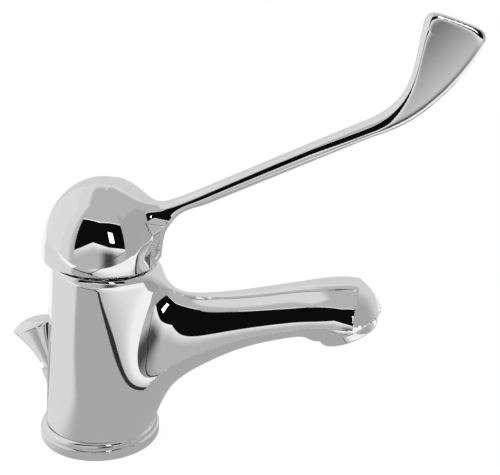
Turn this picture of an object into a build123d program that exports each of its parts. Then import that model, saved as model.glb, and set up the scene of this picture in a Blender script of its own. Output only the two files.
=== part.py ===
from build123d import *
from math import cos, radians, sin, sqrt
import os

os.makedirs("parts", exist_ok=True)

# Elbow lever basin tap, in millimetres.
# The origin is the middle of the base on the deck, +X points along the spout and +Z is up.

# Clearances
running_gap = 0.05  # turning and sliding fits, on the radius
seat_gap = 0.05  # between flat faces of pieces that seat on each other
overrun = 1.0  # how far a cut runs past the face that it opens

# Base ring and its seal
ring_shoulder_width = 2.4
ring_height = 7.5
ring_band_height = 4.4
ring_groove = 0.8
ring_width = 6.0
ledge_gap = 0.3
ledge_depth = 0.6
seal_inset = 0.8
seal_width = 2.7
seal_height = 2.0

# Column, which leans a little towards the spout
column_taper = 0.8
rim_radius = 23.5
rim_height = 84.7
rim_shift = 0.8
rim_fillet = 0.6
lean = 2.0

# Hub of the lever: a tall dome whose skirt stands out over the column, turning about the pivot
pivot_forward = 2.0
pivot_drop = 0.6  # of the pivot below the column's rim
hub_overhang = 2.9
hub_height = 33.1
hub_rise = 4.0
hub_wall = 1.6
skirt_gap = 1.3
skirt_fillet = 0.6
tilt_range = 22.0

# Cover over the cartridge, screwed into the column's rim
cover_margin = 1.9
cover_edge = 0.5
cover_height = 4.2
cover_wall = 1.2
cover_spigot_length = 8.0
cover_bore_radius = 10.8

# Cartridge, by depth below the pivot along its own axis
cartridge_radius = 17.5
neck_radius = 14.0
neck_bore_radius = 12.5
neck_top_depth = 0.5
lip_thickness = 1.8
shoulder_depth = 24.0
housing_foot_depth = 35.0
foot_plate_thickness = 3.0
nut_height = 5.4
nut_slot_width = 4.0
nut_slot_depth = 1.6
nut_slots = 6

# Rotor, pin and stem
rotor_neck_radius = 10.2
rotor_top = 3.0
rotor_floor_depth = 7.0
rotor_foot_depth = 13.0
pin_radius = 2.0
pin_length = 19.8
stem_thickness = 6.0
stem_width = 8.0
stem_top = 27.0
stem_eye_radius = 4.2
stem_arm = 9.0
stem_ball_radius = 2.6
stem_neck_radius = 1.9
socket_gap = 0.3
socket_depth = 4.9

# Discs and their carrier
carrier_width = 14.0
carrier_length = 15.0
disc_height = 2.6
moving_disc_radius = 9.0
fixed_disc_height = 3.4
inlet_port_radius = 2.4
inlet_port_back = 5.0
inlet_port_side = 7.5
outlet_port_radius = 3.2
outlet_port_forward = 6.0
mixing_chamber_radius = 6.4
mixing_chamber_depth = 1.3
port_seal_radius = 4.0
port_seal_height = 1.4
port_seal_standout = 0.15

# Waterways and threads in the body's underside
hose_bore_radius = 4.6
hose_bore_length = 14.0
fixing_bore_radius = 3.4
fixing_bore_length = 18.0
duct_radius = 4.5
duct_start_forward = 4.5
duct_start_height = 38.0

# Outlet, measured along its own axis from its mouth
outlet_forward = 110.4
outlet_height = 63.5
outlet_tilt = 25.0
shell_radius = 12.8
shell_height = 4.8
shell_lip_radius = 9.4
shell_lip_height = 1.0
shell_bore_radius = 10.4
thread_radius = 12.0
thread_height = 12.0
socket_height = 14.0
outlet_chamber_radius = 9.0
outlet_chamber_height = 17.0
washer_bore_radius = 8.5
screen_height = 0.6
screen_hole_radius = 0.9
screen_pitch = 2.9
insert_height = 8.5
insert_hole_radius = 1.1
insert_hole_circle = 6.6
insert_holes = 12
insert_core_radius = 3.6

# Spout sections: place along X, top, bottom and half width
spout_length = 108.0
spout_top = 87.0
spout_half_width = 16.0
spout_length_shares = (0.09, 0.2, 0.245, 0.3, 0.36, 0.46, 0.62, 0.78, 0.91, 1.0)
spout_top_shares = (0.955, 0.94, 0.905, 0.862, 0.844, 0.852, 0.894, 0.947, 0.983, 0.988)
spout_bottom_shares = (0.09, 0.1, 0.16, 0.285, 0.385, 0.49, 0.61, 0.688, 0.738, 0.77)
spout_width_shares = (1.44, 1.25, 1.15, 1.03, 0.94, 0.9, 0.885, 0.92, 0.975, 1.0)
spout_roundness = 2.5
section_points = 20

# Nose of the spout, turned about the outlet's axis
nose_radius = 16.2
nose_height = 22.6
nose_radius_shares = (0.56, 0.81, 0.965)
nose_height_shares = (0.955, 0.8, 0.5)
nose_edge_height = 7.0
nose_edge_fillet = 1.2

# Lever arm and paddle, in the plane of the spout
arm_width = 10.0
arm_edge_fillet = 2.6
lever_reach = 150.0
lever_rise = 112.0
paddle_corner_radius = 3.2
arm_top_shares = ((0.09, 0.273), (0.157, 0.254), (0.207, 0.274), (0.3, 0.335))
arm_bend_top_shares = ((0.735, 0.639), (0.785, 0.692), (0.817, 0.767), (0.83, 0.865), (0.839, 1.014))
arm_bend_bottom_shares = ((1.009, 0.944), (0.968, 0.837), (0.9, 0.717), (0.82, 0.625), (0.735, 0.569))
arm_bottom_shares = ((0.3, 0.269), (0.24, 0.235), (0.2, 0.191), (0.15, 0.137))
paddle_dish_radius = 60.0
paddle_dish_depth = 0.9
paddle_dish_shares = (0.915, 0.833)

# Neck that widens the arm's root into the hub: sections by place, low and high edge and half width
neck_shares = ((0.1, 0.155, 0.24, 0.95), (0.19, 0.19, 0.243, 0.62), (0.29, 0.258, 0.312, 0.49))
neck_fillet = 2.4

# Chin under the arm, with the index button and the grub screw
chin_width = 16.0
chin_edge_fillet = 1.2
chin_forward_shares = (0.894, 0.915, 0.943, 0.977, 1.034, 1.09)
chin_height_shares = (-0.04, 0.167, 0.379, 0.53, 0.663, 0.785)
chin_top_shares = (0.68, 0.97)
side_face_turn = 24.0
side_face_depth = 1.3
front_wall = 1.8
button_set_back = 2.1
button_rise = 8.0
button_tilt = 10.0
button_radius = 4.0
button_pocket_depth = 3.0
button_recess = 0.5
screw_radius = 2.5
screw_length = 8.0
screw_socket_radius = 1.4
screw_socket_depth = 3.0
screw_height = 15.5
bridge_half_width = 6.5
bridge_back = 6.0
bridge_bottom = 5.5
rotor_clearance = 0.45

# Lift rod and knob, by distance along the rod from the knob's narrow end
knob_back = 25.2
knob_height = 32.8
rod_tilt = 21.0
rod_radius = 2.5
rod_length = 29.0
rod_insert = 12.0
knob_length = 17.8
knob_top_radius = 9.2
knob_foot_radius = 3.4
knob_crown = 3.2
knob_edge = 0.9
knob_flare_radius = 45.0
knob_pocket_radius = 4.6
knob_pocket_depth = 3.6
guide_radius = 4.2
guide_length = 9.0

# Places worked out from the sizes above
foot_radius = rim_radius + column_taper
ledge_radius = foot_radius + ledge_gap
ring_radius = ledge_radius + ring_shoulder_width
ring_bore_radius = ring_radius - ring_width
seal_inner_radius = ring_bore_radius + seal_inset
seal_outer_radius = seal_inner_radius + seal_width
hub_radius = rim_radius + hub_overhang
cover_radius = rim_radius - cover_margin
side_face_reach = hub_radius - side_face_depth
button_forward = hub_radius - button_set_back
base_depth = housing_foot_depth + foot_plate_thickness
lean_sin = sin(radians(lean))
lean_cos = cos(radians(lean))
pivot_height = rim_height - pivot_drop
pivot = Vector(pivot_forward, 0, pivot_height)
cartridge_axis = Axis(pivot, (lean_sin, 0, lean_cos))
cartridge_plane = Plane(pivot, x_dir=(lean_cos, 0, -lean_sin), z_dir=(lean_sin, 0, lean_cos))
axial_plane = Plane(pivot, x_dir=(lean_cos, 0, -lean_sin), z_dir=(0, -1, 0))
rim_plane = cartridge_plane.offset(pivot_drop)
skirt_height = pivot_drop + skirt_gap
ledge_height = ring_height - ledge_depth
bore_radius = cartridge_radius + 4 * running_gap
bore_depth = base_depth + port_seal_standout
fixed_disc_depth = rotor_foot_depth + disc_height + 4 * seat_gap
disc_floor_depth = fixed_disc_depth + fixed_disc_height

outlet_sin = sin(radians(outlet_tilt))
outlet_cos = cos(radians(outlet_tilt))
outlet_plane = Plane(
    (outlet_forward, 0, outlet_height), x_dir=(outlet_cos, 0, outlet_sin), z_dir=(-outlet_sin, 0, outlet_cos)
)
outlet_side_plane = Plane(
    (outlet_forward, 0, outlet_height), x_dir=(outlet_cos, 0, outlet_sin), z_dir=(0, -1, 0)
)
outlet_axis = Axis((outlet_forward, 0, outlet_height), (-outlet_sin, 0, outlet_cos))

stem_lean = lean + tilt_range / 2
stem_plane = Plane(
    pivot,
    x_dir=(cos(radians(stem_lean)), 0, -sin(radians(stem_lean))),
    z_dir=(sin(radians(stem_lean)), 0, cos(radians(stem_lean))),
)
stem_rest_shift = stem_arm * sin(radians(tilt_range / 2))

button_point = Vector(pivot_forward + button_forward, 0, pivot_height + button_rise)
button_plane = Plane(
    button_point, x_dir=(0, 1, 0), z_dir=(cos(radians(button_tilt)), 0, -sin(radians(button_tilt)))
)
screw_foot = stem_plane.from_local_coords((0, 0, screw_height))
screw_plane = Plane(screw_foot, x_dir=(0, 1, 0), z_dir=(button_point - screw_foot).normalized())
screw_slant = radians(stem_plane.x_dir.get_angle(screw_plane.z_dir))
screw_start = (stem_thickness / 2 + screw_radius * sin(screw_slant)) / cos(screw_slant) + 2 * seat_gap

rod_sin = sin(radians(rod_tilt))
rod_cos = cos(radians(rod_tilt))
knob_plane = Plane((-knob_back, 0, knob_height), x_dir=(rod_cos, 0, rod_sin), z_dir=(-rod_sin, 0, rod_cos))
knob_side_plane = Plane((-knob_back, 0, knob_height), x_dir=(rod_cos, 0, rod_sin), z_dir=(0, -1, 0))
knob_axis = Axis((-knob_back, 0, knob_height), (-rod_sin, 0, rod_cos))


def add_disc(plane, low, high, outer, inner=0.0):
    # A round plate or tube between two heights over the plane
    with BuildSketch(plane.offset(low)) as outline:
        Circle(outer)
        if inner:
            Circle(inner, mode=Mode.SUBTRACT)
    extrude(outline.sketch, amount=high - low)


def cut_hole(plane, low, high, radius, places=((0, 0),)):
    # Round holes between two heights over the plane
    with BuildSketch(plane.offset(low)) as outline:
        with Locations(*places):
            Circle(radius)
    extrude(outline.sketch, amount=high - low, mode=Mode.SUBTRACT)


def finish(builder, name):
    # Label the solid and write it out
    builder.part.label = name
    export_step(builder.part, "parts/" + name + ".step")


def section_outline(top, bottom, half_width):
    # One closed spout section: a rounded oblong from a superellipse
    middle = (top + bottom) / 2
    half_height = (top - bottom) / 2
    power = 2 / spout_roundness
    points = []
    for step in range(section_points):
        angle = radians(360 * step / section_points)
        side = abs(cos(angle)) ** power * (1 if cos(angle) >= 0 else -1)
        rise = abs(sin(angle)) ** power * (1 if sin(angle) >= 0 else -1)
        points.append((half_width * side, middle + half_height * rise))
    return points


def lever_points(shares):
    # Outline points of the lever from shares of its reach and rise
    return [(lever_reach * across, lever_rise * up) for across, up in shares]


# Body: leaning column, spout with its web, nose, cup, cartridge bore and waterways
with BuildPart() as body:
    add_disc(Plane.XY, 0, ledge_height, ring_bore_radius - 4 * running_gap)
    with BuildSketch(Plane.XY.offset(ledge_height)):
        Circle(foot_radius)
    with BuildSketch(rim_plane):
        with Locations((rim_shift, 0)):
            Circle(rim_radius)
    loft()
    spout_sections = zip(spout_length_shares, spout_top_shares, spout_bottom_shares, spout_width_shares)
    for along, top, bottom, width in spout_sections:
        with BuildSketch(Plane.YZ.offset(spout_length * along)):
            with BuildLine():
                outline = section_outline(spout_top * top, spout_top * bottom, spout_half_width * width)
                Spline(*outline, periodic=True)
            make_face()
    loft()
    with BuildSketch(outlet_side_plane):
        with BuildLine():
            dome_points = [(0, nose_height)]
            for across, up in zip(nose_radius_shares, nose_height_shares):
                dome_points.append((nose_radius * across, nose_height * up))
            dome_points.append((nose_radius, nose_edge_height))
            Spline(*dome_points, tangents=[(1, 0), (0, -1)])
            Polyline(
                (nose_radius, nose_edge_height),
                (nose_radius, shell_height + nose_edge_fillet),
                (nose_radius - nose_edge_fillet, shell_height),
                (0, shell_height),
                (0, nose_height),
            )
        make_face()
    revolve(axis=outlet_axis)
    # nothing of the spout may stand in front of the nose's lower face
    with BuildSketch(outlet_plane.offset(shell_height)):
        Circle(2 * nose_radius)
    extrude(amount=-nose_height, mode=Mode.SUBTRACT)
    # the bore for the cartridge, open at the rim
    fillet(body.edges().filter_by(GeomType.CIRCLE).sort_by(cartridge_axis)[-1], radius=rim_fillet)
    cut_hole(cartridge_plane, -bore_depth, pivot_drop + overrun, bore_radius)
    # waterways
    port_x = pivot_forward - base_depth * lean_sin - inlet_port_back
    inlet_places = ((port_x, inlet_port_side), (port_x, -inlet_port_side))
    cut_hole(Plane.XY, -overrun, hose_bore_length, hose_bore_radius, inlet_places)
    cut_hole(Plane.XY, hose_bore_length, pivot_height - base_depth, inlet_port_radius, inlet_places)
    cut_hole(Plane.XY, -overrun, fixing_bore_length, fixing_bore_radius)
    outlet_start = Vector(duct_start_forward, 0, duct_start_height)
    outlet_end = outlet_plane.from_local_coords((0, 0, (socket_height + outlet_chamber_height) / 2))
    duct_plane = Plane(outlet_start, x_dir=(0, 1, 0), z_dir=(outlet_end - outlet_start).normalized())
    cut_hole(duct_plane, 0, (outlet_end - outlet_start).length, duct_radius)
    cut_hole(
        cartridge_plane,
        -pivot_height + duct_start_height,
        -base_depth,
        outlet_port_radius,
        ((outlet_port_forward, 0),),
    )
    # the outlet's threaded socket
    cut_hole(outlet_plane, shell_height - overrun, socket_height, thread_radius + running_gap)
    cut_hole(outlet_plane, socket_height, outlet_chamber_height, outlet_chamber_radius)
    # the lift rod's way through the back of the column
    pocket_low = -knob_height / rod_cos - knob_back
    cut_hole(knob_plane, pocket_low, -knob_pocket_depth, rod_radius + 4 * running_gap)
    cut_hole(knob_plane, -knob_pocket_depth - guide_length, -knob_pocket_depth, guide_radius)
    cut_hole(knob_plane, -knob_pocket_depth, knob_length, knob_pocket_radius)
finish(body, "body")

# Base ring: a vertical band, a fine groove and a rounded shoulder
with BuildPart() as base_ring:
    with BuildSketch(Plane.XZ):
        with BuildLine():
            Polyline(
                (ledge_radius, ring_height),
                (ledge_radius, ledge_height),
                (ring_bore_radius, ledge_height),
                (ring_bore_radius, 0),
                (seal_inner_radius - running_gap, 0),
                (seal_inner_radius - running_gap, seal_height),
                (seal_outer_radius + running_gap, seal_height),
                (seal_outer_radius + running_gap, 0),
                (ring_radius, 0),
                (ring_radius, ring_band_height),
                (ring_radius - ring_groove, ring_band_height),
            )
            RadiusArc(
                (ring_radius - ring_groove, ring_band_height),
                (ledge_radius, ring_height),
                -(ring_height - ring_band_height),
            )
        make_face()
    revolve(axis=Axis.Z)
finish(base_ring, "base_ring")

# Seal under the ring
with BuildPart() as base_seal:
    add_disc(Plane.XY, 0, seal_height - seat_gap, seal_outer_radius, seal_inner_radius)
finish(base_seal, "base_seal")

# Cartridge housing: a cup with a narrow neck, whose lip keeps the rotor in
with BuildPart() as cartridge_housing:
    add_disc(cartridge_plane, -housing_foot_depth, -shoulder_depth, cartridge_radius)
    add_disc(cartridge_plane, -shoulder_depth, -neck_top_depth, neck_radius)
    lip_depth = neck_top_depth + lip_thickness
    cut_hole(cartridge_plane, -housing_foot_depth, -lip_depth, neck_bore_radius)
    cut_hole(cartridge_plane, -lip_depth, -neck_top_depth, rotor_neck_radius + 2 * running_gap)
finish(cartridge_housing, "cartridge_housing")

# Foot plate of the cartridge, with a spigot that carries the lower disc and the three ports
inlet_ports = ((-inlet_port_back, inlet_port_side), (-inlet_port_back, -inlet_port_side))
outlet_ports = ((outlet_port_forward, 0),)
port_places = inlet_ports + outlet_ports
with BuildPart() as cartridge_base:
    add_disc(cartridge_plane, -base_depth, -housing_foot_depth - seat_gap, cartridge_radius)
    spigot_radius = neck_bore_radius - 4 * running_gap
    add_disc(cartridge_plane, -housing_foot_depth - seat_gap, -disc_floor_depth - seat_gap, spigot_radius)
    cut_hole(cartridge_plane, -base_depth, -disc_floor_depth, inlet_port_radius, inlet_ports)
    cut_hole(cartridge_plane, -base_depth, -disc_floor_depth, outlet_port_radius, outlet_ports)
    seal_pocket = port_seal_height - port_seal_standout + seat_gap
    pocket_radius = port_seal_radius + running_gap
    cut_hole(cartridge_plane, -base_depth, -base_depth + seal_pocket, pocket_radius, port_places)
finish(cartridge_base, "cartridge_base")

# Three rings that seal the ports against the body
with BuildPart() as inlet_seals:
    with BuildSketch(cartridge_plane.offset(-base_depth - port_seal_standout)):
        with Locations(*port_places):
            Circle(port_seal_radius)
            Circle(outlet_port_radius, mode=Mode.SUBTRACT)
    extrude(amount=port_seal_height)
finish(inlet_seals, "inlet_seals")

# Lower ceramic disc with two inlets and one outlet
with BuildPart() as fixed_disc:
    add_disc(cartridge_plane, -disc_floor_depth, -fixed_disc_depth, spigot_radius)
    cut_hole(cartridge_plane, -disc_floor_depth, -fixed_disc_depth, inlet_port_radius, inlet_ports)
    cut_hole(cartridge_plane, -disc_floor_depth, -fixed_disc_depth, outlet_port_radius, outlet_ports)
finish(fixed_disc, "fixed_disc")

# Ring nut over the cartridge's shoulder, with slots for its key
nut_bottom = -shoulder_depth + seat_gap
with BuildPart() as retaining_nut:
    nut_bore_radius = neck_radius + 2 * running_gap
    add_disc(cartridge_plane, nut_bottom, nut_bottom + nut_height, cartridge_radius, nut_bore_radius)
    with BuildSketch(cartridge_plane.offset(nut_bottom + nut_height - nut_slot_depth)):
        with PolarLocations(cartridge_radius, nut_slots):
            Rectangle(nut_slot_width, nut_slot_width)
    extrude(amount=nut_slot_depth, mode=Mode.SUBTRACT)
finish(retaining_nut, "retaining_nut")

# Cover: a shallow dome on the column's rim that keeps the nut and the cartridge's neck out of sight
with BuildPart() as cartridge_cover:
    with BuildSketch(axial_plane):
        with BuildLine():
            cover_low = pivot_drop + seat_gap
            spigot_bottom = pivot_drop - cover_spigot_length
            cover_neck_radius = neck_radius + 4 * running_gap
            cover_spigot_radius = bore_radius - 2 * running_gap
            Polyline(
                (cover_bore_radius, cover_height),
                (cover_bore_radius, cover_height - cover_wall),
                (cover_neck_radius, cover_height - 2 * cover_wall),
                (cover_neck_radius, spigot_bottom),
                (cover_spigot_radius, spigot_bottom),
                (cover_spigot_radius, cover_low),
                (cover_radius, cover_low),
                (cover_radius, cover_low + cover_edge),
            )
            TangentArc(
                (cover_bore_radius, cover_height), (cover_radius, cover_low + cover_edge), tangent=(1, 0)
            )
        make_face()
    revolve(axis=cartridge_axis)
finish(cartridge_cover, "cartridge_cover")

# Rotor: turns in the housing's neck, guides the stem and drives the carrier
with BuildPart() as rotor:
    rotor_radius = neck_bore_radius - 2 * running_gap
    rotor_shoulder = -lip_depth - seat_gap
    add_disc(cartridge_plane, -rotor_foot_depth, rotor_shoulder, rotor_radius)
    add_disc(cartridge_plane, rotor_shoulder, rotor_top, rotor_neck_radius)
    with BuildSketch(cartridge_plane.offset(-rotor_floor_depth)):
        slot_length = stem_thickness + 2 * stem_eye_radius * sin(radians(tilt_range)) + 8 * socket_gap
        Rectangle(slot_length, stem_width + 4 * running_gap)
    extrude(amount=rotor_floor_depth + rotor_top, mode=Mode.SUBTRACT)
    with BuildSketch(cartridge_plane.offset(-rotor_foot_depth)):
        Rectangle(2 * cartridge_radius, carrier_width + 4 * running_gap)
    extrude(amount=rotor_foot_depth - rotor_floor_depth, mode=Mode.SUBTRACT)
    with BuildSketch(axial_plane):
        Circle(pin_radius + running_gap)
    extrude(amount=neck_bore_radius, both=True, mode=Mode.SUBTRACT)
finish(rotor, "rotor")

# Cross pin that the stem tilts on
with BuildPart() as stem_pin:
    with BuildSketch(axial_plane):
        Circle(pin_radius)
    extrude(amount=pin_length / 2, both=True)
finish(stem_pin, "stem_pin")

# Control stem: square shank, eye for the pin and a ball that moves the carrier
with BuildPart() as stem:
    with BuildSketch(stem_plane):
        Rectangle(stem_thickness, stem_width)
    extrude(amount=stem_top)
    with BuildSketch(axial_plane):
        Circle(stem_eye_radius)
    extrude(amount=stem_width / 2, both=True)
    with BuildSketch(stem_plane):
        Circle(stem_neck_radius)
    extrude(amount=-stem_arm)
    with Locations(stem_plane.offset(-stem_arm)):
        Sphere(stem_ball_radius)
    with BuildSketch(axial_plane):
        Circle(pin_radius + running_gap / 5)
    extrude(amount=stem_width, both=True, mode=Mode.SUBTRACT)
finish(stem, "stem")

# Carrier with the stem's socket, at rest a little behind the middle
carrier_plane = cartridge_plane.offset(-rotor_foot_depth - seat_gap)
with BuildPart() as disc_carrier:
    carrier_height = rotor_foot_depth - rotor_floor_depth - seat_gap
    with BuildSketch(carrier_plane):
        with Locations((-stem_rest_shift, 0)):
            Rectangle(carrier_length, carrier_width)
    extrude(amount=carrier_height)
    with BuildSketch(carrier_plane.offset(carrier_height)):
        with Locations((-stem_rest_shift, 0)):
            Circle(stem_ball_radius + socket_gap)
    extrude(amount=-socket_depth, mode=Mode.SUBTRACT)
finish(disc_carrier, "disc_carrier")

# Upper ceramic disc with its mixing chamber
with BuildPart() as moving_disc:
    with BuildSketch(cartridge_plane.offset(-fixed_disc_depth + seat_gap)):
        with Locations((-stem_rest_shift, 0)):
            Circle(moving_disc_radius)
    extrude(amount=disc_height)
    with BuildSketch(cartridge_plane.offset(-fixed_disc_depth + seat_gap)):
        with Locations((-stem_rest_shift, 0)):
            Circle(mixing_chamber_radius)
    extrude(amount=mixing_chamber_depth, mode=Mode.SUBTRACT)
finish(moving_disc, "moving_disc")

# Arm and paddle of the lever, a bar of constant width bent up at its end
lever_plane = Plane(pivot, x_dir=(1, 0, 0), z_dir=(0, -1, 0))
dished_point = lever_points((paddle_dish_shares,))[0]
with BuildPart() as lever_arm:
    with BuildSketch(lever_plane) as lever_outline:
        with BuildLine():
            arm_top = lever_points(arm_top_shares)
            bend_top = lever_points(arm_bend_top_shares)
            bend_bottom = lever_points(arm_bend_bottom_shares)
            arm_bottom = lever_points(arm_bottom_shares)
            upper = Line(arm_top[-1], bend_top[0])
            lower = Line(bend_bottom[-1], arm_bottom[0])
            Spline(*arm_top, tangents=[(1, 0), upper % 0])
            Spline(*bend_top, tangents=[upper % 1, (0, 1)])
            Line(bend_top[-1], bend_bottom[0])
            Spline(*bend_bottom, tangents=[(-1, -2), lower % 0])
            Spline(*arm_bottom, tangents=[lower % 1, (-1, -1)])
            Line(arm_bottom[-1], arm_top[0])
        make_face()
        fillet(lever_outline.vertices().group_by(Axis.X)[-1], radius=paddle_corner_radius)
        fillet(lever_outline.vertices().group_by(Axis.Y)[-1], radius=paddle_corner_radius)
    extrude(amount=arm_width / 2, both=True)
    arm_edges = lever_arm.edges()
    side_edges = arm_edges.filter_by(lambda edge: abs(abs(edge.center().Y) - arm_width / 2) < running_gap)
    root_line = side_edges.sort_by(Axis.X)[:2]
    fillet([edge for edge in side_edges if edge not in root_line], radius=arm_edge_fillet)
    for side in (1, -1):
        reach = side * (paddle_dish_radius + arm_width / 2 - paddle_dish_depth)
        with Locations(lever_plane.from_local_coords((dished_point[0], dished_point[1], reach))):
            Sphere(paddle_dish_radius, mode=Mode.SUBTRACT)

# Neck of the lever, which widens the arm's root into the hub
with BuildPart() as lever_neck:
    for along, low, high, width in neck_shares:
        section_height = lever_rise * (high - low)
        section_middle = pivot_height + lever_rise * (high + low) / 2
        with BuildSketch(Plane.YZ.offset(pivot_forward + lever_reach * along)):
            with Locations((0, section_middle)):
                RectangleRounded(arm_width * 2 * width, section_height, neck_fillet)
    loft()

# Chin of the lever, under the arm's root, with rounded front corners
with BuildPart() as lever_chin:
    with BuildSketch(lever_plane):
        with BuildLine():
            face_shares = zip(chin_forward_shares, chin_height_shares)
            face_points = [(hub_radius * across, hub_radius * up) for across, up in face_shares]
            top_point = (hub_radius * chin_top_shares[0], hub_radius * chin_top_shares[1])
            Spline(*face_points)
            Polyline(face_points[-1], top_point, (0, hub_rise), (0, face_points[0][1]), face_points[0])
        make_face()
    extrude(amount=chin_width / 2, both=True)
    chin_edges = lever_chin.edges()
    side_edges = chin_edges.filter_by(lambda edge: abs(abs(edge.center().Y) - chin_width / 2) < running_gap)
    fillet(side_edges.sort_by(Axis.X)[-2:], radius=chin_edge_fillet)

# Hollow of the hub, around a bridge that holds the stem and the grub screw
with BuildPart() as hub_hollow:
    with BuildSketch(axial_plane):
        with BuildLine():
            inner_radius = hub_radius - hub_wall
            inner_height = hub_height - hub_wall
            EllipticalCenterArc((0, hub_rise), inner_radius, inner_height, start_angle=90, arc_size=90)
            Polyline(
                (-inner_radius, hub_rise),
                (-inner_radius, 0),
                (0, 0),
                (0, hub_rise + inner_height),
            )
        make_face()
    revolve(axis=cartridge_axis)
    # the hub's wall stays thick behind its flat front faces
    face_reach = hub_radius * chin_forward_shares[0]
    side_faces = ((side_face_turn, side_face_reach), (-side_face_turn, side_face_reach))
    for turn, reach in ((0, face_reach), *side_faces):
        with BuildSketch(cartridge_plane.rotated((0, 0, turn))):
            with Locations((reach - front_wall + hub_radius / 2, 0)):
                Rectangle(hub_radius, 2 * hub_radius)
        extrude(amount=hub_height / 2, mode=Mode.SUBTRACT)
    with BuildSketch(cartridge_plane.offset(bridge_bottom)):
        with Locations((hub_radius - bridge_back, 0)):
            Rectangle(2 * hub_radius, 2 * bridge_half_width)
    extrude(amount=hub_height, mode=Mode.SUBTRACT)
    with Locations(cartridge_plane):
        Sphere(sqrt(rotor_neck_radius**2 + rotor_top**2) + rotor_clearance)

# Lever: hub, neck, chin, arm and paddle in one casting
with BuildPart() as lever:
    with BuildSketch(axial_plane):
        with BuildLine():
            EllipticalCenterArc((0, hub_rise), hub_radius, hub_height, start_angle=90, arc_size=90)
            Polyline((-hub_radius, hub_rise), (-hub_radius, 0), (0, 0), (0, hub_rise + hub_height))
        make_face()
    revolve(axis=cartridge_axis)
    # the hub's front is cut flat along the chin's face, and flat on each side of it
    with BuildSketch(lever_plane):
        with BuildLine():
            front_side = 2 * hub_radius
            Spline(*face_points)
            Polyline(
                face_points[-1],
                (front_side, face_points[-1][1]),
                (front_side, face_points[0][1]),
                face_points[0],
            )
        make_face()
    extrude(amount=hub_radius, both=True, mode=Mode.SUBTRACT)
    for turn in (side_face_turn, -side_face_turn):
        with BuildSketch(cartridge_plane.rotated((0, 0, turn))):
            with Locations((side_face_reach + hub_radius / 2, 0)):
                Rectangle(hub_radius, 2 * hub_radius)
        extrude(amount=hub_height / 2, mode=Mode.SUBTRACT)
    add(lever_chin.part)
    add(lever_neck.part)
    add(lever_arm.part)
    # the hub ends over the column's rim
    with BuildSketch(cartridge_plane.offset(skirt_height)):
        Rectangle(4 * hub_radius, 4 * hub_radius)
    extrude(amount=-hub_radius, mode=Mode.SUBTRACT)
    skirt_edges = lever.edges().group_by(cartridge_axis)[0]
    fillet(skirt_edges, radius=skirt_fillet)
    add(hub_hollow.part, mode=Mode.SUBTRACT)
    with BuildSketch(stem_plane):
        Rectangle(stem_thickness + 2 * seat_gap, stem_width + 2 * seat_gap)
    extrude(amount=stem_top + seat_gap, mode=Mode.SUBTRACT)
    cut_hole(screw_plane, 0, (button_point - screw_foot).length, screw_radius + running_gap)
    cut_hole(button_plane, -button_pocket_depth, hub_radius, button_radius + 2 * running_gap)
finish(lever, "lever")

# Index button in the chin's pocket, with a slightly domed face
with BuildPart() as index_cap:
    with BuildSketch(Plane(button_point, x_dir=button_plane.z_dir, z_dir=(0, -1, 0))):
        with BuildLine():
            back_depth = -button_pocket_depth + seat_gap
            Polyline(
                (-button_recess, 0),
                (back_depth, 0),
                (back_depth, button_radius),
                (-2 * button_recess, button_radius),
            )
            TangentArc((-button_recess, 0), (-2 * button_recess, button_radius), tangent=(0, 1))
        make_face()
    revolve(axis=Axis(button_point, button_plane.z_dir))
finish(index_cap, "index_cap")

# Grub screw that clamps the hub on the stem
with BuildPart() as lever_screw:
    add_disc(screw_plane, screw_start, screw_start + screw_length, screw_radius)
    with BuildSketch(screw_plane.offset(screw_start + screw_length - screw_socket_depth)):
        RegularPolygon(screw_socket_radius, 6)
    extrude(amount=screw_socket_depth, mode=Mode.SUBTRACT)
finish(lever_screw, "lever_screw")

# Outlet shell: smooth collar with a threaded neck
with BuildPart() as aerator_housing:
    add_disc(outlet_plane, 0, shell_height - seat_gap, shell_radius)
    add_disc(outlet_plane, shell_height - seat_gap, thread_height, thread_radius)
    cut_hole(outlet_plane, shell_lip_height, thread_height, shell_bore_radius)
    cut_hole(outlet_plane, 0, shell_lip_height, shell_lip_radius)
    mouth_edges = aerator_housing.edges().filter_by(GeomType.CIRCLE).sort_by(outlet_axis)[:2]
    fillet(mouth_edges.sort_by(SortBy.RADIUS)[-1], radius=shell_lip_height / 2)
finish(aerator_housing, "aerator_housing")

# Fine screen at the mouth
with BuildPart() as aerator_screen:
    screen_radius = shell_bore_radius - running_gap
    screen_low = shell_lip_height + seat_gap
    add_disc(outlet_plane, screen_low, screen_low + screen_height, screen_radius)
    with BuildSketch(outlet_plane.offset(screen_low)):
        with HexLocations(screen_pitch / sqrt(3), 5, 5):
            Circle(screen_hole_radius)
    extrude(amount=screen_height, mode=Mode.SUBTRACT)
finish(aerator_screen, "aerator_screen")

# Flow former over the screen
with BuildPart() as aerator_insert:
    insert_low = screen_low + screen_height + seat_gap
    add_disc(outlet_plane, insert_low, insert_low + insert_height, screen_radius)
    with BuildSketch(outlet_plane.offset(insert_low)):
        with PolarLocations(insert_hole_circle, insert_holes):
            Circle(insert_hole_radius)
    extrude(amount=insert_height, mode=Mode.SUBTRACT)
    cut_hole(outlet_plane, insert_low, insert_low + insert_height / 2, insert_core_radius)
finish(aerator_insert, "aerator_insert")

# Washer between the shell's neck and the socket's floor
with BuildPart() as aerator_washer:
    washer_low = thread_height + seat_gap
    washer_high = socket_height - seat_gap
    add_disc(outlet_plane, washer_low, washer_high, thread_radius - running_gap, washer_bore_radius)
finish(aerator_washer, "aerator_washer")

# Bush for the lift rod in the back of the column
with BuildPart() as rod_guide:
    guide_top = -knob_pocket_depth - seat_gap
    guide_bottom = -knob_pocket_depth - guide_length + seat_gap
    guide_bore_radius = rod_radius + running_gap
    add_disc(knob_plane, guide_bottom, guide_top, guide_radius - running_gap, guide_bore_radius)
finish(rod_guide, "rod_guide")

# Lift rod
with BuildPart() as lift_rod:
    add_disc(knob_plane, -rod_length, rod_insert, rod_radius)
finish(lift_rod, "lift_rod")

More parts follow.
